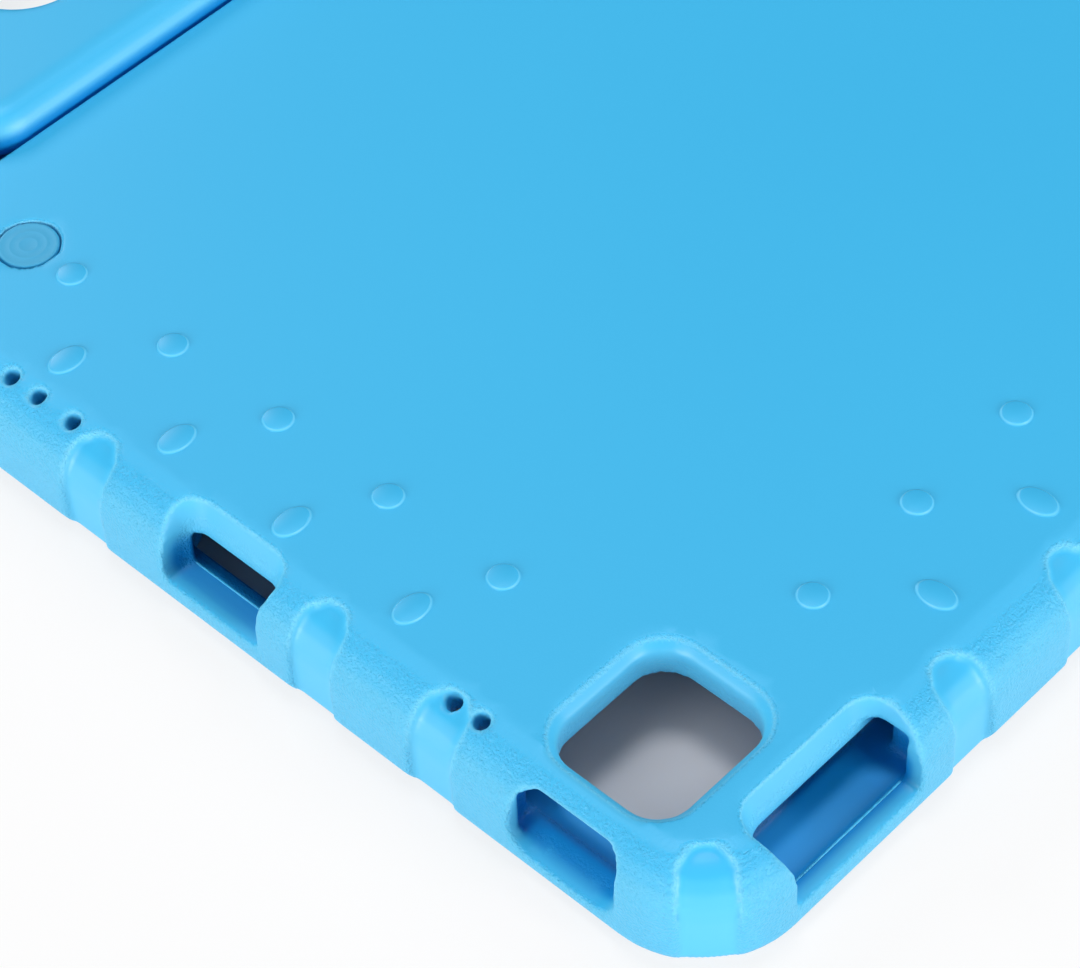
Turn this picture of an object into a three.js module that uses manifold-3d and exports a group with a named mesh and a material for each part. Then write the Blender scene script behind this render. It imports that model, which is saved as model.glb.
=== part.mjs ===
// Kids tablet case: one thick foam shell that lies face down, with a foam handle hinged along
// its far long edge. Millimetres, +Z up. The shell's long side runs along X, the handle is at +Y,
// and the origin is on the table, at the middle of the whole footprint.

import * as THREE from "three";
import { mergeVertices } from "three/addons/utils/BufferGeometryUtils.js";
import Module from "manifold-3d";

const wasm = await Module();
wasm.setup();

// The tablet that the case holds, and how loosely it sits
const tabletLength = 280.6;
const tabletWidth = 214.9;
const tabletCornerRadius = 18;
const bayPlay = 0.4;
const bayDepth = 7.5;

// Shell
const shortSideWall = 7.3;
const longSideWall = 10.2;
const panelThickness = 8;
const frontLip = 5.5;
const lipOverlap = 7;
const shoulderRadius = 10;
const footRadius = 2.5;
const cornerRadius = 21;
const screenCornerRadius = 12;
const lipChamfer = 1.5;

// Notch in the front lip at the middle slot, for the tablet's front camera
const notchLength = 34;
const notchLip = 2.5;
const notchRadius = 3;

// Camera opening, measured from the shell's edges to its middle
const cameraLength = 30;
const cameraWidth = 27;
const cameraRadius = 7;
const cameraFromShortEdge = 26;
const cameraFromLongEdge = 34.3;
const cameraFlare = 2.2;

// Slots for the keys: length, how far each reaches in from its edge, and where its middle is
const volumeLength = 32;
const volumeFromShortEdge = 37.4;
const volumeReach = 12.3;
const powerLength = 20;
const powerFromLongEdge = 33.8;
const sideSlotReach = 9;
const powerHeadroom = 3;
const middleSlotLength = 24;
const middleSlotShift = 0.5;
const middleSlotReach = 8.4;
const portLength = 22;
const portHeight = 9;
const slotRadius = 4;
const sideSlotRadius = 3;
const slotFlare = 2;
const slotFlareDepth = 6;
const sillRise = 0.6;
const volumeStrip = 4;
const powerStrip = 2.5;
const volumeUndercut = 4;
const powerUndercut = 3.5;
const undercutHeadroom = 4.5;

// Sound holes through the shoulder
const soundHoleRadius = 1.7;
const soundHoleInset = 7.3;
const soundHoleLean = 20;
const soundDishRadius = 3.5;
const soundDishDepth = 0.9;
const soundHolePlaces = [-60.1, -53.4, 42.6, 52, 59.4];

// Scallops pressed into the shoulder and the side walls
const scallopWidth = 10.4;
const scallopDepth = 1.2;
const scallopReach = 8.8;
const cornerScallopReach = 9.8;
const longSideScallops = [17.4, 49, 80.6, 112.2];
const shortSideScallops = [-54, -25, 34, 72];

// Raised dots on the back panel
const dotRadius = 3;
const dotHeight = 0.5;
const dotSoftEdge = 0.5;
const ovalStretch = 1.38;
const ovalSquash = 0.92;
const dotPitch = 28;
const dotRowInset = 33.4;
const dotColumnInset = 32;
const ovalRowInset = 17.7;
const ovalColumnInset = 16.6;
const ovalColumnPitch = 29.7;
const ovalColumnFromFarEdge = 64;
const ovalColumnCount = 4;
const dotColumnFromFarEdge = 48;
const dotColumnCount = 5;
const dotRowCount = 3;

// Round plugs set into the panel
const plugRadius = 6;
const plugDepth = 3;
const plugGap = 0.3;
const plugSink = 0.3;
const plugEdge = 0.4;
const plugFromFarEdge = 35.5;
const plugRingCount = 2;
const plugRingWidth = 0.5;
const plugRingRise = 0.15;

// Handle
const handleFromShortEdge = 40.5;
const handleCorner = 12;
const handleOverlap = 12.8;
const handleOverhang = 60;
const gripCorner = 28;
const hingePlateThickness = 11.6;
const handleRise = 6;
const gripThickness = 20;
const handHoleFromEnd = 27.5;
const handHoleWidth = 30;
const handHoleRadius = 14;
const handHoleFlare = 1.2;
const handHoleGap = 8.2;
const hingeGap = 0.6;
const handleEndGap = 0.6;

// Knuckles on the shell at both ends of the handle, and the pins through them
const knuckleLength = 14;
const pinRadius = 2;
const pinReach = 26;
const pinGap = 0.1;
const pinHeadRadius = 3.2;
const pinHeadDepth = 1.2;

// What follows from the sizes above
const bayLength = tabletLength + 2 * bayPlay;
const bayWidth = tabletWidth + 2 * bayPlay;
const shellLength = bayLength + 2 * shortSideWall;
const shellWidth = bayWidth + 2 * longSideWall;
const halfLength = shellLength / 2;
const halfWidth = shellWidth / 2;
const bayCeiling = frontLip + bayDepth;
const shellHeight = bayCeiling + panelThickness;
const handleHalfLength = halfLength - handleFromShortEdge;
const handHoleLength = 2 * (handleHalfLength - handHoleFromEnd);
const sillHeight = frontLip + sillRise;
const beyond = 40;
const cutOverlap = 1;
const quarterTurn = 90;

const foam = new THREE.MeshStandardMaterial({ color: 0x43b6ea, roughness: 0.55, metalness: 0 });
const plugPlastic = new THREE.MeshStandardMaterial({ color: 0x3aa3d4, roughness: 0.5, metalness: 0 });
const steel = new THREE.MeshStandardMaterial({ color: 0xb9bcc0, roughness: 0.3, metalness: 1 });

// Turns a closed geometry into a solid that can be joined and cut
function toSolid(geometry) {
  const bare = geometry.clone();
  bare.deleteAttribute("normal");
  bare.deleteAttribute("uv");
  const merged = mergeVertices(bare, 1e-4);
  const vertProperties = Float32Array.from(merged.attributes.position.array);
  const triVerts = Uint32Array.from(merged.index.array);
  return new wasm.Manifold(new wasm.Mesh({ numProp: 3, vertProperties, triVerts }));
}

// Turns a finished solid into a named mesh
function toMesh(solid, name, material) {
  const { vertProperties, triVerts, numProp } = solid.getMesh();
  const positions = new Float32Array((vertProperties.length / numProp) * 3);
  for (let vertex = 0; vertex < positions.length / 3; vertex += 1) {
    for (let axis = 0; axis < 3; axis += 1) {
      positions[vertex * 3 + axis] = vertProperties[vertex * numProp + axis];
    }
  }
  const geometry = new THREE.BufferGeometry();
  geometry.setAttribute("position", new THREE.BufferAttribute(positions, 3));
  geometry.setIndex(new THREE.BufferAttribute(Uint32Array.from(triVerts), 1));
  geometry.computeVertexNormals();
  const mesh = new THREE.Mesh(geometry, material);
  mesh.name = name;
  return mesh;
}

function joinAll(solids) {
  return solids.reduce((sum, next) => sum.add(next));
}

// A rectangle with round corners about its own middle
function roundedRectangle(length, width, radius) {
  const x = length / 2;
  const y = width / 2;
  const r = Math.min(radius, x - 0.01, y - 0.01);
  const outline = new THREE.Shape();
  outline.absarc(x - r, -y + r, r, -Math.PI / 2, 0);
  outline.absarc(x - r, y - r, r, 0, Math.PI / 2);
  outline.absarc(-x + r, y - r, r, Math.PI / 2, Math.PI);
  outline.absarc(-x + r, -y + r, r, Math.PI, Math.PI * 1.5);
  outline.closePath();
  return outline;
}

// A plate from one height to another, with both edges rounded inwards by the bevel
function plate(outline, low, high, bevel = 0, bevelSegments = 4, curveSegments = 6) {
  const geometry = new THREE.ExtrudeGeometry(outline, {
    depth: high - low - 2 * bevel,
    steps: 1,
    bevelEnabled: bevel > 0,
    bevelThickness: bevel,
    bevelSize: bevel,
    bevelOffset: -bevel,
    bevelSegments,
    curveSegments,
  });
  geometry.translate(0, 0, low + bevel);
  return geometry;
}

// A cutter that keeps its outline at one end and widens by the flare, over the rise, above it
function flaredCutter(outline, start, flare, length, rise = flare, curveSegments = 6) {
  const geometry = new THREE.ExtrudeGeometry(outline, {
    depth: length,
    steps: 1,
    bevelEnabled: true,
    bevelThickness: rise,
    bevelSize: flare,
    bevelSegments: 1,
    curveSegments,
  });
  geometry.translate(0, 0, start + rise);
  return geometry;
}

function moved(geometry, x, y, z) {
  geometry.translate(x, y, z);
  return geometry;
}

// A round bar along X, with its middle at the given point
function barAlongX(radius, length, x, y, z, sides = 24) {
  const geometry = new THREE.CylinderGeometry(radius, radius, length, sides);
  geometry.rotateZ(Math.PI / 2);
  return moved(geometry, x, y, z);
}

// A plain block between two corners
function block(low, high) {
  const geometry = new THREE.BoxGeometry(high[0] - low[0], high[1] - low[1], high[2] - low[2]);
  return moved(geometry, (low[0] + high[0]) / 2, (low[1] + high[1]) / 2, (low[2] + high[2]) / 2);
}

// The shell's outside, or the same form shrunk by an inset that leaves its underside open
function shellForm(inset) {
  const outline = roundedRectangle(
    shellLength - 2 * inset, shellWidth - 2 * inset, cornerRadius - inset);
  const shoulder = Math.max(shoulderRadius - inset, 0.5);
  const top = shellHeight - inset;
  return toSolid(plate(outline, -2 * shoulderRadius, top, shoulder, 5, 7));
}

function shellBlank() {
  const outline = roundedRectangle(shellLength, shellWidth, cornerRadius);
  const foot = toSolid(plate(outline, 0, shellHeight + 2 * shoulderRadius, footRadius, 2, 7));
  return shellForm(0).intersect(foot);
}

// How far the round shoulder lies below the panel at a distance in from the edge
function shoulderDrop(inset) {
  const short = Math.max(shoulderRadius - inset, 0);
  return shoulderRadius - Math.sqrt(shoulderRadius ** 2 - short ** 2);
}

// The arched outline of a scallop, with its round top at the origin
function archOutline() {
  const half = scallopWidth / 2;
  const length = shellHeight * 3;
  const outline = new THREE.Shape();
  outline.moveTo(-half, -length);
  outline.lineTo(half, -length);
  outline.absarc(0, -half, half, 0, Math.PI);
  outline.closePath();
  return outline;
}

// One scallop's cutter, on the wall that faces outward at the given edge point
function scallopCutter(edge, outward, reach = scallopReach) {
  const slope = Math.SQRT1_2;
  const lift = new THREE.Vector3(-outward.x * slope, -outward.y * slope, slope);
  const away = new THREE.Vector3(outward.x * slope, outward.y * slope, slope);
  const side = new THREE.Vector3().crossVectors(lift, away);
  const geometry = new THREE.ExtrudeGeometry(archOutline(), {
    depth: 2 * shellHeight,
    steps: 1,
    bevelEnabled: false,
    curveSegments: 8,
  });
  geometry.translate(0, 0, -shellHeight);
  geometry.applyMatrix4(new THREE.Matrix4().makeBasis(side, lift, away));
  const top = edge.clone().addScaledVector(outward, -reach);
  return toSolid(moved(geometry, top.x, top.y, shellHeight - shoulderDrop(reach)));
}

const powerY = -halfWidth + powerFromLongEdge;
const volumeX = -halfLength + volumeFromShortEdge;
const cameraX = -halfLength + cameraFromShortEdge;
const cameraY = -halfWidth + cameraFromLongEdge;

function allScallops() {
  const cutters = [];
  const down = new THREE.Vector3(0, -1, 0);
  for (const x of longSideScallops) {
    for (const place of [-x, x]) {
      if (Math.abs(place - volumeX) > (volumeLength + scallopWidth) / 2) {
        cutters.push(scallopCutter(new THREE.Vector3(place, -halfWidth, 0), down));
      }
    }
  }
  for (const sideX of [-1, 1]) {
    const outward = new THREE.Vector3(sideX, 0, 0);
    for (const y of shortSideScallops) {
      cutters.push(scallopCutter(new THREE.Vector3(sideX * halfLength, y, 0), outward));
    }
    for (const sideY of [-1, 1]) {
      const diagonal = new THREE.Vector3(sideX, sideY, 0).normalize();
      const corner = new THREE.Vector3(
        sideX * (halfLength - cornerRadius), sideY * (halfWidth - cornerRadius), 0);
      corner.addScaledVector(diagonal, cornerRadius);
      cutters.push(scallopCutter(corner, diagonal, cornerScallopReach));
    }
  }
  return joinAll(cutters).subtract(shellForm(scallopDepth));
}

// The tablet's bay, the screen opening below it and the camera opening above it
function tabletHollow() {
  const bay = roundedRectangle(bayLength, bayWidth, tabletCornerRadius);
  const screen = roundedRectangle(
    bayLength - 2 * lipOverlap, bayWidth - 2 * lipOverlap, screenCornerRadius);
  const notch = roundedRectangle(2 * (lipOverlap - notchLip), notchLength, notchRadius);
  const notchX = -bayLength / 2 + lipOverlap;
  const camera = roundedRectangle(cameraLength, cameraWidth, cameraRadius);
  const screenFlare = flaredCutter(screen, 0, lipChamfer, beyond);
  screenFlare.rotateX(Math.PI);
  const cameraTop = flaredCutter(camera, shellHeight - cameraFlare, cameraFlare, beyond);
  return joinAll([
    toSolid(plate(bay, frontLip, bayCeiling)),
    toSolid(plate(screen, -beyond, frontLip + bayDepth / 2)),
    toSolid(moved(plate(notch, -beyond, frontLip + bayDepth / 2), notchX, middleSlotShift, 0)),
    toSolid(moved(screenFlare, 0, 0, lipChamfer)),
    toSolid(flaredCutter(screen, frontLip - lipChamfer, lipChamfer, lipChamfer)),
    toSolid(moved(plate(camera, bayCeiling - cutOverlap, shellHeight + beyond), cameraX, cameraY, 0)),
    toSolid(moved(cameraTop, cameraX, cameraY, 0)),
  ]);
}

// A slot that is open at the side and from above, with round corners seen from above
function openSlot(length, reach) {
  const outline = roundedRectangle(length, 2 * reach, slotRadius);
  const mouth = flaredCutter(
    outline, shellHeight - slotFlareDepth, slotFlare, beyond, slotFlareDepth);
  return toSolid(plate(outline, sillHeight, shellHeight + beyond)).add(toSolid(mouth));
}

// A slot through a side wall only, with round corners seen from the side
function sideSlot(length, low, high) {
  const outline = roundedRectangle(length, high - low, sideSlotRadius);
  const cutters = [
    plate(outline, -sideSlotReach, beyond),
    flaredCutter(outline, -slotFlareDepth, slotFlare, beyond, slotFlareDepth),
  ];
  return joinAll(cutters.map((geometry) => {
    geometry.rotateX(Math.PI / 2);
    return toSolid(moved(geometry, 0, 0, (low + high) / 2));
  }));
}

// All the slots, with the hollows under the rim at the far ends of the volume and power slots
function wallSlots() {
  const volume = openSlot(volumeLength, volumeReach).translate([volumeX, -halfWidth, 0]);
  const middle = openSlot(middleSlotLength, middleSlotReach)
    .rotate([0, 0, -quarterTurn])
    .translate([-halfLength, middleSlotShift, 0]);
  const power = sideSlot(powerLength, sillHeight, shellHeight - powerHeadroom)
    .rotate([0, 0, -quarterTurn])
    .translate([-halfLength, powerY, 0]);
  const portMiddle = frontLip + bayDepth / 2;
  const port = sideSlot(portLength, portMiddle - portHeight / 2, portMiddle + portHeight / 2)
    .rotate([0, 0, quarterTurn])
    .translate([halfLength, 0, 0]);
  const seatHalf = (volumeLength - slotRadius) / 2;
  const seat = block(
    [volumeX - seatHalf, -halfWidth + volumeStrip, frontLip],
    [volumeX + seatHalf, -halfWidth + longSideWall + cutOverlap, bayCeiling],
  );
  const undercutTop = shellHeight - undercutHeadroom;
  const volumeEnd = volumeX + volumeLength / 2;
  const volumeHollow = block(
    [volumeEnd - slotRadius, -halfWidth + volumeStrip, frontLip],
    [volumeEnd + volumeUndercut, -halfWidth + volumeReach, undercutTop],
  );
  const powerEnd = powerY + powerLength / 2;
  const powerHollow = block(
    [-halfLength + powerStrip, powerEnd - sideSlotRadius, sillHeight],
    [-halfLength + sideSlotReach, powerEnd + powerUndercut, undercutTop],
  );
  return joinAll([volume, middle, power, port, ...[seat, volumeHollow, powerHollow].map(toSolid)]);
}

// Each hole leans in towards the bay and starts in a shallow dish
function soundHoles() {
  const length = 2 * panelThickness + soundHoleRadius;
  const lean = THREE.MathUtils.degToRad(soundHoleLean);
  const surface = shellHeight - shoulderDrop(soundHoleInset);
  return joinAll([-1, 1].flatMap((side) => soundHolePlaces.map((y) => {
    const hole = new THREE.CylinderGeometry(soundHoleRadius, soundHoleRadius, length, 12);
    hole.rotateX(Math.PI / 2);
    const dish = new THREE.SphereGeometry(soundDishRadius, 12, 10);
    dish.rotateX(Math.PI / 2);
    dish.translate(0, 0, soundDishRadius - soundDishDepth);
    return joinAll([hole, dish].map((geometry) => {
      geometry.rotateY(side * lean);
      return toSolid(moved(geometry, side * (halfLength - soundHoleInset), y, surface));
    }));
  })));
}

// One raised dot, stretched along X and Y, its edge softened by a small slope
function dot(x, y, stretchX = 1, stretchY = 1) {
  const rooted = dotHeight;
  const geometry = new THREE.CylinderGeometry(
    dotRadius - dotSoftEdge, dotRadius + dotSoftEdge, dotHeight + rooted, 12);
  geometry.rotateX(Math.PI / 2);
  geometry.scale(stretchX, stretchY, 1);
  return toSolid(moved(geometry, x, y, shellHeight));
}

function allDots() {
  const dots = [];
  const rowY = -halfWidth + dotRowInset;
  const ovalRowY = -halfWidth + ovalRowInset;
  dots.push(dot(0, rowY));
  for (const side of [-1, 1]) {
    for (let step = 0; step < dotColumnCount; step += 1) {
      const y = halfWidth - dotColumnFromFarEdge - step * dotPitch;
      dots.push(dot(side * (halfLength - dotColumnInset), y));
    }
    for (let step = 0; step < ovalColumnCount; step += 1) {
      const y = halfWidth - ovalColumnFromFarEdge - step * ovalColumnPitch;
      dots.push(dot(side * (halfLength - ovalColumnInset), y, ovalStretch, ovalSquash));
    }
    for (let step = 1; step <= dotRowCount; step += 1) {
      const x = side * step * dotPitch;
      dots.push(dot(x, rowY));
      dots.push(dot(x - side * dotPitch / 2, ovalRowY, ovalSquash, ovalStretch));
    }
  }
  return joinAll(dots);
}

const plugX = halfLength - dotColumnInset;
const plugY = halfWidth - plugFromFarEdge;

function plugPockets() {
  const radius = plugRadius + plugGap;
  const floor = shellHeight - plugDepth - plugGap;
  return joinAll([-1, 1].map((side) => {
    const pocket = new THREE.CylinderGeometry(radius, radius, beyond, 32);
    pocket.rotateX(Math.PI / 2);
    return toSolid(moved(pocket, side * plugX, plugY, floor + beyond / 2));
  }));
}

// A turned plug with faint rings on its face
function panelPlug(side, name) {
  const top = shellHeight - plugSink;
  const bottom = shellHeight - plugDepth;
  const profile = [
    new THREE.Vector2(0, bottom),
    new THREE.Vector2(plugRadius, bottom),
    new THREE.Vector2(plugRadius, top - plugEdge),
    new THREE.Vector2(plugRadius - plugEdge, top),
  ];
  for (let ring = plugRingCount; ring > 0; ring -= 1) {
    const radius = plugRadius * ring / (plugRingCount + 1);
    profile.push(new THREE.Vector2(radius + plugRingWidth, top));
    profile.push(new THREE.Vector2(radius, top + plugRingRise));
    profile.push(new THREE.Vector2(radius - plugRingWidth, top));
  }
  profile.push(new THREE.Vector2(0, top));
  const turned = new THREE.LatheGeometry(profile, 32);
  turned.rotateX(Math.PI / 2);
  return toMesh(toSolid(moved(turned, side * plugX, plugY, 0)), name, plugPlastic);
}

// The handle's edges are half round, so that its near edge is also the hinge's barrel
const barrelRadius = hingePlateThickness / 2;
const handleTop = shellHeight + handleRise;
const handleNearEdge = halfWidth - handleOverlap;
const handleFarEdge = halfWidth + handleOverhang;
const hingeY = handleNearEdge + barrelRadius;
const hingeZ = handleTop - barrelRadius;
const grooveRadius = barrelRadius + hingeGap;

// The handle's plan outline, from the given near edge out to the grip
function handleOutline(near) {
  const outline = new THREE.Shape();
  const x = handleHalfLength;
  const low = near + handleCorner;
  const high = handleFarEdge - gripCorner;
  outline.absarc(x - handleCorner, low, handleCorner, -Math.PI / 2, 0);
  outline.absarc(x - gripCorner, high, gripCorner, 0, Math.PI / 2);
  outline.absarc(-x + gripCorner, high, gripCorner, Math.PI / 2, Math.PI);
  outline.absarc(-x + handleCorner, low, handleCorner, Math.PI, Math.PI * 1.5);
  outline.closePath();
  return outline;
}

// The round groove in the shell that the barrel turns in, open towards the far edge
function handleGroove() {
  const end = handleHalfLength + handleEndGap;
  const barrel = toSolid(barAlongX(grooveRadius, 2 * end, 0, hingeY, hingeZ, 40));
  const step = block([-end, hingeY, hingeZ - grooveRadius], [end, hingeY + beyond, handleTop]);
  return barrel.add(toSolid(step));
}

const knuckleX = handleHalfLength + handleEndGap + knuckleLength / 2;

function knuckle(side) {
  const x = side * knuckleX;
  const root = block(
    [x - knuckleLength / 2, hingeY - barrelRadius, bayCeiling + cutOverlap],
    [x + knuckleLength / 2, hingeY + barrelRadius, hingeZ],
  );
  return toSolid(root).add(toSolid(barAlongX(barrelRadius, knuckleLength, x, hingeY, hingeZ)));
}

const pinEnd = knuckleX + knuckleLength / 2 - plugSink;

// A pin with a flat head, or the bore that takes it, at one end of the hinge
function pinForm(side, gap) {
  const length = pinReach + gap;
  const head = pinHeadDepth + gap;
  const shaft = barAlongX(
    pinRadius + gap, length, side * (pinEnd - length / 2), hingeY, hingeZ, 16);
  const disc = barAlongX(
    pinHeadRadius + gap, head, side * (pinEnd - head / 2), hingeY, hingeZ, 24);
  return toSolid(shaft).add(toSolid(disc));
}

function pinBores() {
  return joinAll([-1, 1].map((side) => {
    const mouth = barAlongX(
      pinHeadRadius + pinGap, beyond, side * (pinEnd - plugSink + beyond / 2), hingeY, hingeZ);
    return pinForm(side, pinGap).add(toSolid(mouth));
  }));
}

function shell() {
  const solid = shellBlank()
    .subtract(allScallops())
    .subtract(tabletHollow())
    .subtract(wallSlots())
    .subtract(soundHoles())
    .subtract(plugPockets())
    .add(allDots())
    .add(knuckle(-1))
    .add(knuckle(1))
    .subtract(handleGroove())
    .subtract(pinBores());
  return toMesh(solid, "case_shell", foam);
}

function handle() {
  const plateLow = handleTop - hingePlateThickness;
  const outline = handleOutline(handleNearEdge);
  const hingePlate = toSolid(plate(outline, plateLow, handleTop, barrelRadius, 5, 7));
  const gripOutline = handleOutline(halfWidth + handleEndGap);
  const gripLow = handleTop - gripThickness;
  const grip = toSolid(plate(gripOutline, gripLow, handleTop, barrelRadius, 5, 7));
  const hole = roundedRectangle(handHoleLength, handHoleWidth, handHoleRadius);
  const holeY = halfWidth + handHoleGap + handHoleWidth / 2;
  const through = plate(hole, -beyond, beyond);
  const rim = flaredCutter(hole, handleTop - handHoleFlare, handHoleFlare, beyond);
  const solid = hingePlate
    .add(grip)
    .subtract(toSolid(moved(through, 0, holeY, 0)))
    .subtract(toSolid(moved(rim, 0, holeY, 0)))
    .subtract(pinBores());
  return toMesh(solid, "handle", foam);
}

const tabletCase = new THREE.Group();
tabletCase.position.y = -handleOverhang / 2;
tabletCase.add(
  shell(),
  handle(),
  panelPlug(-1, "panel_plug_left"),
  panelPlug(1, "panel_plug_right"),
  toMesh(pinForm(-1, 0), "hinge_pin_left", steel),
  toMesh(pinForm(1, 0), "hinge_pin_right", steel),
);

export default tabletCase;
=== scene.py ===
# %% [markdown]
# # A foam case for a child's tablet
#
# The case is one thick block of moulded foam that lies with its open front on the table, so we see
# its back: a wide flat panel with small raised dots, a round shoulder with pressed-in scallops,
# and openings for the camera, the keys and the sound. A foam handle is hinged along the far edge.
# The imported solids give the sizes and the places. What they lack is softness, since foam has no
# sharp edge.

import math

import bpy
import numpy as np
from mathutils import Matrix, Vector


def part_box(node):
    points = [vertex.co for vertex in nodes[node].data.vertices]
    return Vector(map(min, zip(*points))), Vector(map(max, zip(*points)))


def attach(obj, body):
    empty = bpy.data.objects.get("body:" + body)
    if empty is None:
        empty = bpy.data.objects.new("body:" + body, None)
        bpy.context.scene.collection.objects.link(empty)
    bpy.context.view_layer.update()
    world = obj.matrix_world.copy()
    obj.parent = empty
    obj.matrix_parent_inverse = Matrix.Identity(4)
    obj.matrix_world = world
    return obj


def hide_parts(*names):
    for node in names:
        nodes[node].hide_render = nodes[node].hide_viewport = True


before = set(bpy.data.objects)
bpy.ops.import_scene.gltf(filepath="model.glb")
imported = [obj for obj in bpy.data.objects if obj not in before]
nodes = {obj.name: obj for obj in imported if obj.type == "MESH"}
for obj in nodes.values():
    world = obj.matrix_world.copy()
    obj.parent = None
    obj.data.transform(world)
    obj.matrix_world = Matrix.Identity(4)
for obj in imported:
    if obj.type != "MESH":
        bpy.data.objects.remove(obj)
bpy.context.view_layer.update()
print("solids:", ", ".join(sorted(nodes)))

# %% [markdown]
# ## Where the shell's main faces are
#
# Later steps need a few heights and edges, such as the level of the back panel. They could be
# typed in again, but then they would drift apart from the solids when a size changes. Here they
# are read from the boxes of the solids. Only what a box does not tell, such as the spacing of the
# dots, is written again where it is used.

# %% Read the main levels
MM = 0.001
PLUG_UNDER_PANEL = 0.15 * MM

shell_low, shell_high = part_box("case_shell")
handle_low, handle_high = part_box("handle")
plug_low, plug_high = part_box("panel_plug_left")
PANEL_Z = plug_high.z + PLUG_UNDER_PANEL
SHELL_MIDDLE_Y = (shell_low.y + shell_high.y) / 2
print(f"panel level {PANEL_Z / MM:.1f} mm, handle top {handle_high.z / MM:.1f} mm")

# %% [markdown]
# ## Blue foam
#
# The foam is closed-cell: it has a satin skin and a fine pebble grain where the mould was
# textured. On the real case the grain is plain on the side walls and the shoulder, faint on the
# back panel, and nearly gone inside the scallops. A picture could carry that grain, but noise made
# by nodes has no seams and holds at any distance. The bump gets its strength from how steeply the
# surface faces up, and from a mark on each vertex that says how smooth it is.
#
# A few short helpers come first, so that the recipe of the foam reads like a list.

# %% Helpers for any material
def new_material(name, colour, roughness, metallic=0.0):
    """A plain material, and the shader node that holds its surface."""
    material = bpy.data.materials.new(name)
    material.use_nodes = True
    surface = material.node_tree.nodes["Principled BSDF"]
    surface.inputs["Base Color"].default_value = colour
    surface.inputs["Roughness"].default_value = roughness
    surface.inputs["Metallic"].default_value = metallic
    return material, surface


def link(owner, source, socket, target, entry):
    """Join two nodes of a material or a world."""
    owner.node_tree.links.new(source.outputs[socket], target.inputs[entry])


def wear(obj, material):
    """Give obj this one material."""
    obj.data.materials.clear()
    obj.data.materials.append(material)


print("material helpers ready")


# %% Helpers for the foam's nodes
def noise(material, place, scale, detail):
    cells = material.node_tree.nodes.new("ShaderNodeTexNoise")
    cells.inputs["Scale"].default_value = scale
    cells.inputs["Detail"].default_value = detail
    link(material, place, "Object", cells, "Vector")
    return cells


def by_slope(material, upward, start, end, low=0.0, high=1.0):
    """A soft step from low to high as the surface turns away from facing up."""
    step = material.node_tree.nodes.new("ShaderNodeMapRange")
    step.interpolation_type = "SMOOTHSTEP"
    limits = {"From Min": start, "From Max": end, "To Min": low, "To Max": high}
    for entry, value in limits.items():
        step.inputs[entry].default_value = value
    link(material, upward, "Z", step, "Value")
    return step


def mark_reader(material, mark_name):
    reader = material.node_tree.nodes.new("ShaderNodeAttribute")
    reader.attribute_name = mark_name
    return reader


def colour_by(material, share, socket, colour):
    """A mix that turns to this colour as the share rises from 0 to 1."""
    mix = material.node_tree.nodes.new("ShaderNodeMix")
    mix.data_type = "RGBA"
    mix.inputs["B"].default_value = colour
    link(material, share, socket, mix, "Factor")
    return mix


print("foam helpers ready")

# %% [markdown]
# The grain is one noise that is fine enough to read as pebbles a fraction of a millimetre wide. It
# fades where a vertex is marked as smooth skin: one is taken less the mark, and the rest scales
# the bump.

# %% A helper for the grain
PEBBLES_PER_METRE = 1900.0
PEBBLE_DEPTH = 0.48 * MM
LEVEL_SKIN = 0.999
LEANING_SKIN = 0.93


def add_grain(material, surface, place, upward, panel_grain, wall_grain):
    add = material.node_tree.nodes.new
    pebbles = noise(material, place, PEBBLES_PER_METRE, detail=2.0)
    pebbles.inputs["Roughness"].default_value = 0.55
    steepness = by_slope(material, upward, LEVEL_SKIN, LEANING_SKIN, panel_grain, wall_grain)

    grainy = add("ShaderNodeMath")
    grainy.operation = "SUBTRACT"
    grainy.inputs[0].default_value = 1.0
    link(material, mark_reader(material, "smooth_skin"), "Fac", grainy, 1)
    strength = add("ShaderNodeMath")
    strength.operation = "MULTIPLY"
    link(material, steepness, "Result", strength, 0)
    link(material, grainy, "Value", strength, 1)

    bump = add("ShaderNodeBump")
    bump.inputs["Distance"].default_value = PEBBLE_DEPTH
    link(material, pebbles, "Fac", bump, "Height")
    link(material, strength, "Value", bump, "Strength")
    link(material, bump, "Normal", surface, "Normal")


print(f"pebbles {PEBBLE_DEPTH / MM:.2f} mm deep")

# %% [markdown]
# The blue is not even. It drifts a little in soft clouds. Three colours are laid over the cloudy
# blue in this order: a paler painted sheen on the walls, where their grain catches light, chosen
# by how far the wall leans; a paler still painted highlight along the creases of the scallops; and
# a fuller blue of painted shade on foam deep inside a slot. The last two follow marks on the mesh.

# %% Put the foam together
FOAM_BLUE = (0.041, 0.485, 0.84, 1.0)
CLOUD_BLUE = (0.034, 0.455, 0.81, 1.0)
# painted sheen: the walls are paler, as if their grain caught the light
WALL_SHEEN_BLUE = (0.085, 0.51, 0.80, 1.0)
# painted highlight along the creases of the scallops and the edges of the dots
CREASE_HIGHLIGHT_BLUE = (0.20, 0.66, 0.90, 1.0)
# painted shade: a fuller blue deep in the slots, in the groove and at the handle's foot
SLOT_SHADE_BLUE = (0.002, 0.28, 0.68, 1.0)
CLOUDS_PER_METRE = 9.0
WALL_BEGINS = 0.95
WALL_IN_FULL = 0.45


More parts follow.
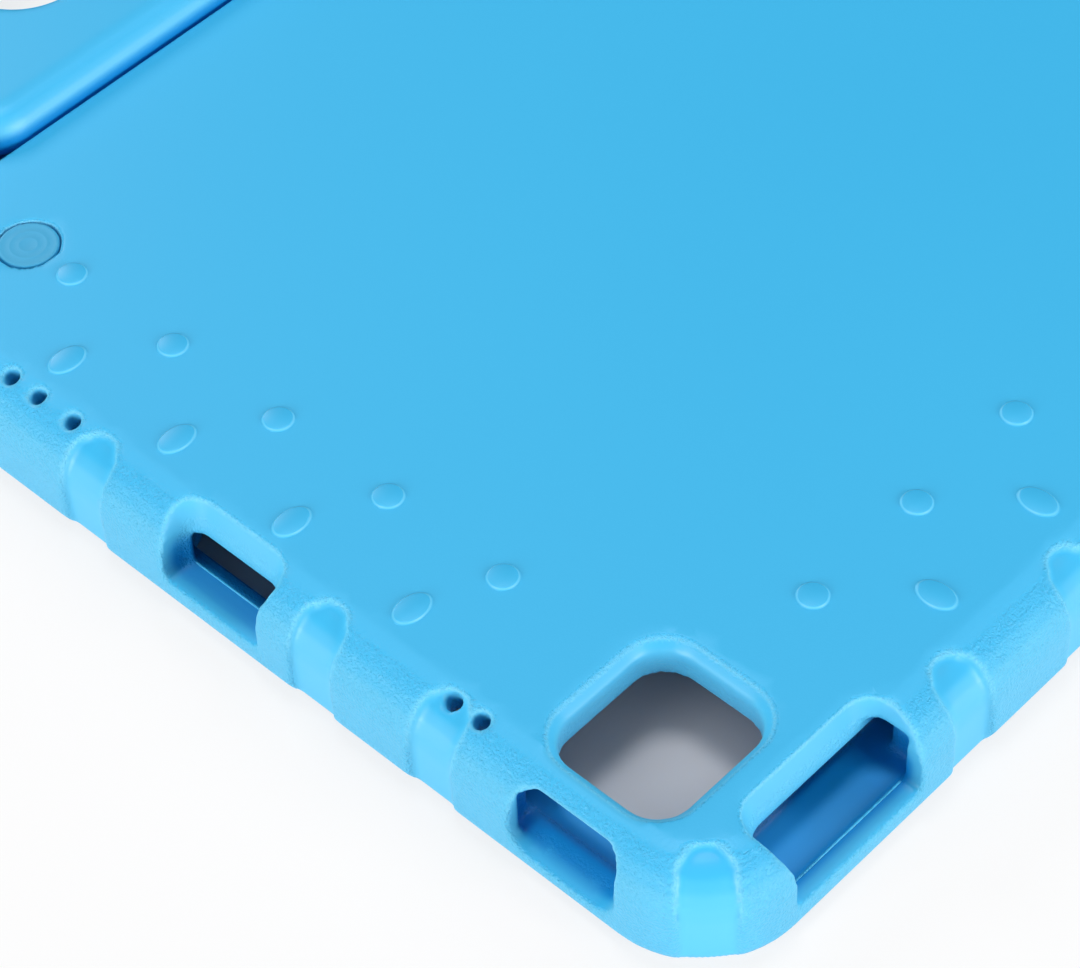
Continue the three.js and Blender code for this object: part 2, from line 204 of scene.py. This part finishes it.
def make_foam(name, panel_grain, wall_grain, roughness=0.44):
    material, surface = new_material(name, FOAM_BLUE, roughness)
    surface.inputs["Specular IOR Level"].default_value = 0.5
    place = material.node_tree.nodes.new("ShaderNodeTexCoord")
    facing = material.node_tree.nodes.new("ShaderNodeNewGeometry")
    upward = material.node_tree.nodes.new("ShaderNodeSeparateXYZ")
    link(material, facing, "Normal", upward, "Vector")
    add_grain(material, surface, place, upward, panel_grain, wall_grain)

    clouds = noise(material, place, CLOUDS_PER_METRE, detail=1.0)
    blue = colour_by(material, clouds, "Fac", CLOUD_BLUE)
    blue.inputs["A"].default_value = FOAM_BLUE
    leaning = by_slope(material, upward, WALL_BEGINS, WALL_IN_FULL)
    for share, socket, colour in (
        (leaning, "Result", WALL_SHEEN_BLUE),
        (mark_reader(material, "crease_highlight"), "Fac", CREASE_HIGHLIGHT_BLUE),
        (mark_reader(material, "painted_shade"), "Fac", SLOT_SHADE_BLUE),
    ):
        over = colour_by(material, share, socket, colour)
        link(material, blue, "Result", over, "A")
        blue = over
    link(material, blue, "Result", surface, "Base Color")
    return material


foam = make_foam("blue foam", panel_grain=0.04, wall_grain=1.0)
handle_foam = make_foam("handle foam", panel_grain=0.03, wall_grain=0.06)
dot_foam = make_foam("dot foam", panel_grain=0.0, wall_grain=0.0, roughness=0.4)
print("foam material with", len(foam.node_tree.nodes), "nodes")

# %% [markdown]
# ## Softening the moulded solids
#
# A bevel along every edge would be the usual way to soften a hard solid. It fails here, because
# the edges meet in hundreds of small cuts. Instead the solid is rebuilt from small cubes of space,
# and the new skin is relaxed a few times, which rounds each edge by about the width of a fillet
# that foam takes in the mould. Then the skin is thinned out, mostly where it is flat.

# %% Helpers that turn a solid into soft foam
CELL = 0.7 * MM
RELAX_PASSES = 4


def new_object(name, data):
    made = bpy.data.objects.new(name, data)
    bpy.context.scene.collection.objects.link(made)
    return made


def evaluated_copy(obj, name):
    """A new object with the mesh that obj's modifiers give."""
    view = bpy.context.evaluated_depsgraph_get()
    mesh = bpy.data.meshes.new_from_object(obj.evaluated_get(view))
    mesh.name = name
    return new_object(name, mesh)


def softened(node, name):
    rough = new_object(name + "_rough", nodes[node].data.copy())
    cubes = rough.modifiers.new("cubes", "REMESH")
    cubes.mode = "VOXEL"
    cubes.voxel_size = CELL
    relax = rough.modifiers.new("relax", "SMOOTH")
    relax.factor = 0.5
    relax.iterations = RELAX_PASSES
    soft = evaluated_copy(rough, name)
    bpy.data.objects.remove(rough)
    return soft


def thinned(obj, most_triangles):
    triangles = sum(len(face.vertices) - 2 for face in obj.data.polygons)
    if triangles <= most_triangles:
        return obj
    name = obj.name
    thin = obj.modifiers.new("thin", "DECIMATE")
    thin.ratio = most_triangles / triangles
    light = evaluated_copy(obj, name + "_light")
    bpy.data.objects.remove(obj)
    light.name = name
    print(f"{name}: {triangles} triangles thinned to {len(light.data.polygons)}")
    return light


print(f"cubes of {CELL / MM:.1f} mm")


# %% Helpers that read and mark the points of a mesh
def point_values(obj, which):
    """Three numbers for each point: its place ("co") or the way it faces ("normal")."""
    flat = np.zeros(len(obj.data.vertices) * 3)
    obj.data.vertices.foreach_get(which, flat)
    return flat.reshape(-1, 3)


def put_mark(obj, mark_name, values):
    """One number for each point, for the material to read."""
    layer = obj.data.attributes.new(mark_name, "FLOAT", "POINT")
    layer.data.foreach_set("value", values.astype(np.float32))


def ramp(values, start, span):
    """0 up to start, 1 from start + span on, and a straight rise between the two."""
    return np.clip((values - start) / span, 0, 1)


print("point helpers ready")

# %% [markdown]
# ## The shell
#
# The rebuilt shell keeps its slots, its flared camera opening and its scallops. Two things are put
# right by hand. The relaxing leaves faint swells on the panel where the raised dots were, so every
# point near the panel's level is pressed back flat. And the points inside the scallops and the
# slots get marks, which steer the grain and the colour.

# %% Soften the shell and press its panel flat
HIGHEST_SWELL = 0.8 * MM
LOWEST_SWELL = 0.05 * MM
FAR_STRIP = 20 * MM
FACES_UP = 0.93

shell = softened("case_shell", "foam_shell")
skin = point_values(shell, "co")
near_panel = (np.abs(skin[:, 2] - PANEL_Z) < HIGHEST_SWELL) & (skin[:, 2] > PANEL_Z - LOWEST_SWELL)
near_panel &= skin[:, 1] < shell_high.y - FAR_STRIP
near_panel &= point_values(shell, "normal")[:, 2] > FACES_UP
skin[near_panel, 2] = PANEL_Z
shell.data.vertices.foreach_set("co", skin.ravel())
shell.data.update()
print(f"shell: {len(skin)} points, {int(near_panel.sum())} pressed to the panel")

# %% [markdown]
# The scallops are where the skin lies deeper than the plain round shoulder would. The plain form
# is easy to state in numbers: a box with round corners in plan and a quarter round along its top.
# The depth below that form says how far inside a scallop a point is. Part of the way down lies
# the scallop's crease, which gets a paler painted highlight, and deeper still lie the slots.

# %% Measure how deep each point lies
CORNER = 21 * MM
SHOULDER = 10 * MM


def depth_below_plain_form(places):
    half = np.array([(shell_high.x - shell_low.x) / 2, (shell_high.y - shell_low.y) / 2])
    flat = np.abs(places[:, :2] - np.array([0.0, SHELL_MIDDLE_Y])) - (half - CORNER)
    outside = np.linalg.norm(np.maximum(flat, 0), axis=1)
    inset = CORNER - outside - np.minimum(np.maximum(flat[:, 0], flat[:, 1]), 0)
    across = np.maximum(SHOULDER - inset, 0)
    up = np.maximum(places[:, 2] - (PANEL_Z - SHOULDER), 0)
    round_part = SHOULDER - np.hypot(across, up)
    return np.where(up > 0, round_part, inset)


depth = depth_below_plain_form(skin)
skin_x, skin_y, skin_z = skin.T
print(f"deepest point {depth.max() / MM:.0f} mm below the plain form")

# %% [markdown]
# The smooth mark rises part of the way into a scallop and is full at its floor. The skin inside a
# slot is left a little less than half smooth. The crease mark, a painted highlight, peaks where
# the smooth mark begins, and fades out towards the table.

# %% Mark the scallops
SCALLOP_DEPTH = 1.2 * MM
SCALLOP_EDGE = 0.4 * SCALLOP_DEPTH
DEEPER_THAN_SCALLOPS = 3 * SCALLOP_DEPTH
SLOT_SMOOTHNESS = 0.4
CREASE_HALF_WIDTH = 0.3 * SCALLOP_DEPTH
CREASE_HIGHLIGHT_STRENGTH = 0.6
CREASE_FOOT = 9 * MM
CREASE_FADE = 4 * MM

smooth = ramp(depth, SCALLOP_EDGE, SCALLOP_EDGE)
smooth[depth > DEEPER_THAN_SCALLOPS] = SLOT_SMOOTHNESS
# a painted highlight in a narrow band at the crease, fading towards the table
crease_highlight = CREASE_HIGHLIGHT_STRENGTH * np.clip(1 - np.abs(depth - SCALLOP_EDGE) / CREASE_HALF_WIDTH, 0, 1)
crease_highlight *= ramp(skin_z, CREASE_FOOT, CREASE_FADE)
put_mark(shell, "smooth_skin", smooth)
put_mark(shell, "crease_highlight", crease_highlight)
print(f"smooth skin on {int((smooth > 0.5).sum())} points")

# %% [markdown]
# Three places get the fuller blue of painted shade: the low floors of the slots, the groove under
# the handle, and the whole inside of the power slot, which the shoulder partly covers.

# %% Mark the painted shade in the slots and the groove
SLOT_MOUTH = 1.8 * MM
SLOT_MOUTH_FADE = 1.4 * MM
SLOT_SHADE_TOP = 14 * MM
SLOT_SHADE_FADE = 3.0 * MM
GROOVE_MARGIN = 1.0 * MM
GROOVE_RIM = 0.3 * MM
POWER_SLOT_FROM_NEAR_EDGE = 33.8 * MM
POWER_SLOT_HALF_LENGTH = 14 * MM
POWER_SLOT_REACH = 9.2 * MM
POWER_SLOT_RIM = 3 * MM

# painted shade, fullest on the slots' floors, in the groove and inside the power slot
painted_shade = ramp(depth, SLOT_MOUTH, SLOT_MOUTH_FADE)
painted_shade *= ramp(SLOT_SHADE_TOP - skin_z, 0, SLOT_SHADE_FADE)
in_groove = (skin_y > handle_low.y - GROOVE_MARGIN) & (np.abs(skin_x) < handle_high.x)
in_groove &= (skin_z > SLOT_SHADE_TOP) & (skin_z < PANEL_Z - GROOVE_RIM)
painted_shade[in_groove] = 1.0
power_slot_y = shell_low.y + POWER_SLOT_FROM_NEAR_EDGE
in_power_slot = np.abs(skin_y - power_slot_y) < POWER_SLOT_HALF_LENGTH
in_power_slot &= (skin_x < shell_low.x + POWER_SLOT_REACH) & (skin_z < PANEL_Z - POWER_SLOT_RIM)
in_power_slot &= depth > POWER_SLOT_RIM
painted_shade[in_power_slot] = 1.0
put_mark(shell, "painted_shade", painted_shade)
print(f"fuller blue on {int((painted_shade > 0.5).sum())} points")

# %% Thin the shell and put it in place
SHELL_TRIANGLES = 190_000

shell = thinned(shell, SHELL_TRIANGLES)
wear(shell, foam)
shell.data.shade_smooth()
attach(shell, "case")
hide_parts("case_shell")
print("shell:", len(shell.data.polygons), "faces")

# %% [markdown]
# ## Raised dots
#
# Two staggered rows of low dots run along the two short sides and the near long side: round ones
# on the panel, oval ones on the start of the shoulder. Each stands a little under half a
# millimetre proud, with a soft edge that catches the light as a thin crescent. The rebuilt shell
# is too coarse for such a small step, so each dot is a turned lens of its own, sunk a little into
# the panel. Turning means that a profile, drawn from the middle outwards, is spun about an
# upright line.

# %% Helpers that turn a profile and collect meshes
def turned(profile, sides, middle, stretch=(1.0, 1.0)):
    """Vertices and faces of a profile spun about an upright line, open below."""
    vertices = [(middle[0], middle[1], middle[2] + profile[0][1])]
    faces = []
    for distance, rise in profile[1:]:
        for side in range(sides):
            angle = 2 * math.pi * side / sides
            vertices.append((
                middle[0] + distance * stretch[0] * math.cos(angle),
                middle[1] + distance * stretch[1] * math.sin(angle),
                middle[2] + rise,
            ))
    for side in range(sides):
        following = (side + 1) % sides
        faces.append((0, 1 + side, 1 + following))
        for ring in range(len(profile) - 2):
            low = 1 + ring * sides
            high = low + sides
            faces.append((low + side, high + side, high + following, low + following))
    return vertices, faces


def mesh_object(name, groups):
    """One object from several groups of vertices and faces."""
    vertices = []
    faces = []
    for group_vertices, group_faces in groups:
        start = len(vertices)
        vertices.extend(group_vertices)
        faces.extend([tuple(start + corner for corner in face) for face in group_faces])
    mesh = bpy.data.meshes.new(name)
    mesh.from_pydata(vertices, [], faces)
    mesh.validate()
    mesh.shade_smooth()
    return new_object(name, mesh)


print("turning helpers ready")

# %% [markdown]
# The rows follow the solids: round dots 28 mm apart, ovals between them, and all of it mirrored
# left and right. On the short sides the ovals stand a little wider apart than the round dots.

# %% Lay out the rows
DOT_PITCH = 28 * MM
OVAL_PITCH = 29.7 * MM
ROUND_FROM_NEAR_EDGE = 33.4 * MM
OVAL_FROM_NEAR_EDGE = 17.7 * MM
ROUND_FROM_SHORT_EDGE = 32 * MM
OVAL_FROM_SHORT_EDGE = 16.6 * MM
FIRST_ROUND = -42 * MM
FIRST_OVAL = -35.1 * MM
ALONG_X = (1.38, 0.92)
ALONG_Y = (0.92, 1.38)

half_x = (shell_high.x - shell_low.x) / 2
left_x = shell_low.x
near_y = shell_low.y
round_places = [(0.0, near_y + ROUND_FROM_NEAR_EDGE)]
oval_places = []
for side in (-1, 1):
    for step in range(5):
        round_y = SHELL_MIDDLE_Y + FIRST_ROUND + DOT_PITCH * step
        round_places.append((side * (half_x - ROUND_FROM_SHORT_EDGE), round_y))
    for step in range(1, 4):
        round_places.append((side * DOT_PITCH * step, near_y + ROUND_FROM_NEAR_EDGE))
        oval_x = side * DOT_PITCH * (step - 0.5)
        oval_places.append((oval_x, near_y + OVAL_FROM_NEAR_EDGE, ALONG_Y))
    for step in range(4):
        oval_y = SHELL_MIDDLE_Y + FIRST_OVAL + OVAL_PITCH * step
        oval_places.append((side * (half_x - OVAL_FROM_SHORT_EDGE), oval_y, ALONG_X))
print(len(round_places), "round dots and", len(oval_places), "oval dots")

# %% [markdown]
# The edge of a dot is half a wave of a cosine, which starts and ends level. It also carries the
# crease mark, so it gets some of the same painted highlight as the creases of the scallops.

# %% Turn the dots
DOT_RADIUS = 3.1 * MM
DOT_HEIGHT = 0.4 * MM
DOT_SUNK = 0.25 * MM
DOT_EDGE = 0.544 * MM
DOT_EDGE_STEPS = 6
DOT_SIDES = 40
DOT_CREASE_HIGHLIGHT = 0.45
CREASE_FROM, CREASE_TO = 0.1, 0.92

dot_profile = [(0.0, DOT_HEIGHT)]
for step in range(DOT_EDGE_STEPS + 1):
    way = step / DOT_EDGE_STEPS
    rise = DOT_HEIGHT / 2 * (1 + math.cos(math.pi * way))
    dot_profile.append((DOT_RADIUS - DOT_EDGE * (1 - way), rise))
dot_profile.append((DOT_RADIUS, -DOT_SUNK))

dots = mesh_object("raised_dots", (
    [turned(dot_profile, DOT_SIDES, (x, y, PANEL_Z)) for x, y in round_places]
    + [turned(dot_profile, DOT_SIDES, (x, y, PANEL_Z), shape) for x, y, shape in oval_places]
))
rise = (point_values(dots, "co")[:, 2] - PANEL_Z) / DOT_HEIGHT
# painted highlight on a band of each dot's edge
put_mark(dots, "crease_highlight", np.where((rise > CREASE_FROM) & (rise < CREASE_TO), DOT_CREASE_HIGHLIGHT, 0.0))
wear(dots, dot_foam)
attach(dots, "case")
print(f"dots {2 * DOT_RADIUS / MM:.1f} mm across, {DOT_HEIGHT / MM:.1f} mm high")

# %% [markdown]
# ## Mould lines in the slots
#
# Where two halves of a mould meet, foam leaves a thin raised line. Such a line runs along the
# floor of the volume slot and along the floor of the middle slot, a few millimetres in from the
# case's edge. It is far thinner than the cubes that rebuild the shell, so it is laid on as a slim
# rod, half sunk into the floor.

# %% A helper for a straight rod
def rod(start, end, radius, sides=10):
    """Vertices and faces of a closed straight rod between two points."""
    start, end = Vector(start), Vector(end)
    along = (end - start).normalized()
    across = along.cross(Vector((0, 0, 1))).normalized()
    upward = across.cross(along)
    vertices = []
    for point in (start, end):
        for side in range(sides):
            angle = 2 * math.pi * side / sides
            vertices.append(point + radius * (math.cos(angle) * across + math.sin(angle) * upward))
    faces = [tuple(range(sides)), tuple(reversed(range(sides, 2 * sides)))]
    for side in range(sides):
        following = (side + 1) % sides
        faces.append((side, sides + side, sides + following, following))
    return vertices, faces


print("rod helper ready")

# %% Lay the two mould lines
FLOOR_Z = 6.1 * MM
LINE_RADIUS = 0.22 * MM
VOLUME_LINE_INSET = 4.0 * MM
VOLUME_LINE_ENDS = (22.4 * MM, 52.4 * MM)
MIDDLE_LINE_INSET = 6.6 * MM
MIDDLE_LINE_ENDS = (-10.5 * MM, 11.5 * MM)

volume_line = [(left_x + end, near_y + VOLUME_LINE_INSET, FLOOR_Z) for end in VOLUME_LINE_ENDS]
middle_line = [(left_x + MIDDLE_LINE_INSET, SHELL_MIDDLE_Y + end, FLOOR_Z)
               for end in MIDDLE_LINE_ENDS]
lines = mesh_object("mould_lines",
                    [rod(start, end, LINE_RADIUS) for start, end in (volume_line, middle_line)])
wear(lines, foam)
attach(lines, "case")
print("two mould lines laid")

# %% [markdown]
# ## The handle
#
# The handle is a second piece of the same foam. It also serves as a stand. Its near edge is half
# round and turns in a groove across the shell, which shows as a dark line at its foot. It gets
# the same softening as the shell, so both look as if they came out of one mould. Its foot, just
# above the groove, carries painted shade like a slot's floor, its blue fuller towards the gap.

# %% Soften the handle
FOOT_RISE = 2.4 * MM
FOOT_FADE = 1.6 * MM
FOOT_DEPTH = 6 * MM
HANDLE_TRIANGLES = 110_000

handle = softened("handle", "foam_handle")
handle_skin = point_values(handle, "co")
# painted shade at the handle's foot, fuller towards the gap
foot_shade = ramp(PANEL_Z + FOOT_RISE - handle_skin[:, 2], 0, FOOT_FADE)
foot_shade[handle_skin[:, 1] > handle_low.y + FOOT_DEPTH] = 0
put_mark(handle, "painted_shade", foot_shade)
handle = thinned(handle, HANDLE_TRIANGLES)
wear(handle, handle_foam)
handle.data.shade_smooth()
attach(handle, "handle")
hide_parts("handle")
print("handle:", len(handle.data.polygons), "faces")

# %% [markdown]
# ## Round plugs
#
# Near each end of the handle a round plug is pressed into the panel. It is a little darker and
# duller than the foam, lies just under the panel's level, and carries faint rings like the marks
# of a lathe. A turned profile gives both the rings and the thin shadow gap round it.

# %% Turn the two plugs
PLUG_RADIUS = (plug_high.x - plug_low.x) / 2
PLUG_BLUE = (0.036, 0.38, 0.66, 1.0)
PLUG_SIDES = 64
TOP_UNDER_SOLID = 0.1 * MM
RING_COUNT = 3
RINGED_SHARE = 0.9
RING_OUTLINE = ((-0.35, 0.0), (-0.12, 0.03), (0.12, 0.03), (0.35, 0.0))
RIM_OUTLINE = ((-0.15, -0.05), (0.0, -0.35), (0.0, -2.5))


def plug_profile(top):
    points = [(0.0, top)]
    for ring in range(1, RING_COUNT + 1):
        ring_radius = PLUG_RADIUS * RINGED_SHARE * ring / RING_COUNT
        for offset, rise in RING_OUTLINE:
            points.append((ring_radius + offset * MM, top + rise * MM))
    for offset, rise in RIM_OUTLINE:
        points.append((PLUG_RADIUS + offset * MM, top + rise * MM))
    return points


plug_plastic, _ = new_material("plug plastic", PLUG_BLUE, roughness=0.5)
for node in ("panel_plug_left", "panel_plug_right"):
    low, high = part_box(node)
    middle = ((low.x + high.x) / 2, (low.y + high.y) / 2, 0.0)
    profile = plug_profile(high.z - TOP_UNDER_SOLID)
    plug = mesh_object(node + "_turned", [turned(profile, PLUG_SIDES, middle)])
    wear(plug, plug_plastic)
    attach(plug, "case")
    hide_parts(node)
print(f"plugs {2 * PLUG_RADIUS / MM:.1f} mm across")

# %% [markdown]
# ## Hinge pins
#
# Two headed steel pins hold the handle. Their heads show at the outer ends of the knuckles, and a
# short stretch of each pin shows beside the handle's rounded corner. That is little, so the
# solids' own shapes are enough and just need a brushed steel finish.

# %% Give the pins their steel
STEEL_GREY = (0.52, 0.53, 0.55, 1.0)

steel, _ = new_material("brushed steel", STEEL_GREY, roughness=0.32, metallic=1.0)
for node in ("hinge_pin_left", "hinge_pin_right"):
    wear(nodes[node], steel)
print("pins finished")

# %% [markdown]
# ## The table
#
# The photograph is a studio shot on white, so a wide sheet is the table. To the camera it glows
# mostly by itself. That way it reads as white while the case's shadow stays on it.
#
# A table that glows would also glow through the openings, where the photograph shows it in deep
# shade. So a plain sheet without any glow lies under the shell. It stays inside the shell's
# outline, because a sheet under the handle as well would lie bare when the handle is raised.

# %% Make the table's material
TABLE_WHITE = (0.86, 0.86, 0.87, 1.0)
GLOW_SHARE = 0.8


def make_table_material():
    material, surface = new_material("white table", TABLE_WHITE, roughness=0.7)
    add = material.node_tree.nodes.new
    glow = add("ShaderNodeEmission")
    glow.inputs["Color"].default_value = (1.0, 1.0, 1.0, 1.0)
    glow.inputs["Strength"].default_value = 1.0
    ray = add("ShaderNodeLightPath")
    seen = add("ShaderNodeMath")
    seen.operation = "MAXIMUM"
    link(material, ray, "Is Camera Ray", seen, 0)
    link(material, ray, "Is Glossy Ray", seen, 1)
    share = add("ShaderNodeMath")
    share.operation = "MULTIPLY"
    share.inputs[1].default_value = GLOW_SHARE
    link(material, seen, "Value", share, 0)
    mix = add("ShaderNodeMixShader")
    link(material, share, "Value", mix, "Fac")
    link(material, surface, "BSDF", mix, 1)
    link(material, glow, "Emission", mix, 2)
    link(material, mix, "Shader", material.node_tree.nodes["Material Output"], "Surface")
    return material


white_table = make_table_material()
print("table material ready")

# %% Lay the table and the shaded sheet
TABLE_HALF = 4.0
UNDER_SHELL = 8 * MM
TABLE_DROP = 0.05 * MM
SHEET_DROP = 0.02 * MM
# a darker grey than the table: painted shade under the shell
PAINTED_SHADE_GREY = (0.60, 0.60, 0.63, 1.0)


def flat_sheet(name, low_x, low_y, high_x, high_y, drop):
    """A flat sheet with these sides, a hair below the table's level."""
    corners = [(low_x, low_y, 0), (high_x, low_y, 0), (high_x, high_y, 0), (low_x, high_y, 0)]
    sheet = mesh_object(name, [(corners, [(0, 1, 2, 3)])])
    sheet.location.z = -drop
    return sheet


table = flat_sheet("table", -TABLE_HALF, -TABLE_HALF, TABLE_HALF, TABLE_HALF, TABLE_DROP)
wear(table, white_table)

# the sheet under the shell is a darker grey, painted shade on the table seen through the openings
shaded_sheet = flat_sheet("shaded_sheet",
                          shell_low.x + UNDER_SHELL, shell_low.y + UNDER_SHELL,
                          shell_high.x - UNDER_SHELL, shell_high.y - UNDER_SHELL, SHEET_DROP)
shaded_grey, _ = new_material("shaded table", PAINTED_SHADE_GREY, roughness=0.8)
wear(shaded_sheet, shaded_grey)
print("table laid")

# %% [markdown]
# ## Light
#
# The soft light comes from large square lamps. One hangs overhead. A lamp behind the case shines
# over the panel and draws a thin bright crescent on each dot. Two more light the left and the near
# walls from low down, and a weak one stands at the right. The world adds an even pale light. Where
# the camera looks past the table, the world shows it a much brighter pale backdrop instead.

# %% Set the world
EVEN_LIGHT = 0.12
BACKDROP_LIGHT = 1.0

world = bpy.data.worlds.new("studio")
bpy.context.scene.world = world
world.use_nodes = True
sky = world.node_tree.nodes["Background"]
sky.inputs["Color"].default_value = (0.96, 0.98, 1.0, 1.0)
sky.inputs["Strength"].default_value = EVEN_LIGHT
backdrop = world.node_tree.nodes.new("ShaderNodeBackground")
backdrop.inputs["Strength"].default_value = BACKDROP_LIGHT
ray = world.node_tree.nodes.new("ShaderNodeLightPath")
either = world.node_tree.nodes.new("ShaderNodeMixShader")
link(world, ray, "Is Camera Ray", either, "Fac")
link(world, sky, "Background", either, 1)
link(world, backdrop, "Background", either, 2)
link(world, either, "Shader", world.node_tree.nodes["World Output"], "Surface")
print("world set")

# %% Hang the lamps
LAMPS_AIM_AT = Vector((-0.08, -0.08, 0.0))


def add_lamp(name, place, size, power):
    data = bpy.data.lights.new(name, "AREA")
    data.shape = "SQUARE"
    data.size = size
    data.energy = power
    lamp = new_object(name, data)
    lamp.location = place
    lamp.rotation_euler = (LAMPS_AIM_AT - Vector(place)).to_track_quat("-Z", "Y").to_euler()


add_lamp("top lamp", (0.1, 0.2, 2.0), 0.5, 12.5)
add_lamp("back lamp", (0.4, 1.8, 1.2), 0.5, 13.0)
add_lamp("back right lamp", (1.5, -0.3, 1.5), 0.8, 8.0)
add_lamp("left lamp", (-2.0, 0.1, 0.5), 0.8, 31.0)
add_lamp("front lamp", (0.2, -2.0, 0.5), 0.8, 32.0)
print("five lamps hung")

# %% [markdown]
# ## The camera
#
# The photograph was taken from about 60 cm away, above the corner with the camera opening, with a
# long lens. The place and the turn below come from the regular grid of dots: their pitch in the
# picture fixes where the camera stood. Two directions are given, where it looks and what is up,
# and what is right follows from them.

# %% Stand the camera where the photograph was taken
LOOK = Vector((0.46064, 0.47452, -0.75010))
UP = Vector((0.56519, 0.49481, 0.66010))
CAMERA_PLACE = Vector((-0.3754, SHELL_MIDDLE_Y - 0.3197, PANEL_Z + 0.4546))
LENS_MM = 114.58
SENSOR_MM = 36.0
NEAREST_SEEN = 0.01

camera_data = bpy.data.cameras.new("camera")
camera_data.sensor_fit = "HORIZONTAL"
camera_data.sensor_width = SENSOR_MM
camera_data.lens = LENS_MM
camera_data.clip_start = NEAREST_SEEN
camera = new_object("camera", camera_data)
look = LOOK.normalized()
right = look.cross(UP).normalized()
up = right.cross(look)
turn = Matrix((right, up, -look)).transposed().to_4x4()
camera.matrix_world = Matrix.Translation(CAMERA_PLACE) @ turn
bpy.context.scene.camera = camera
bpy.context.scene.view_settings.view_transform = "Standard"
print("camera at", [round(value, 3) for value in CAMERA_PLACE])
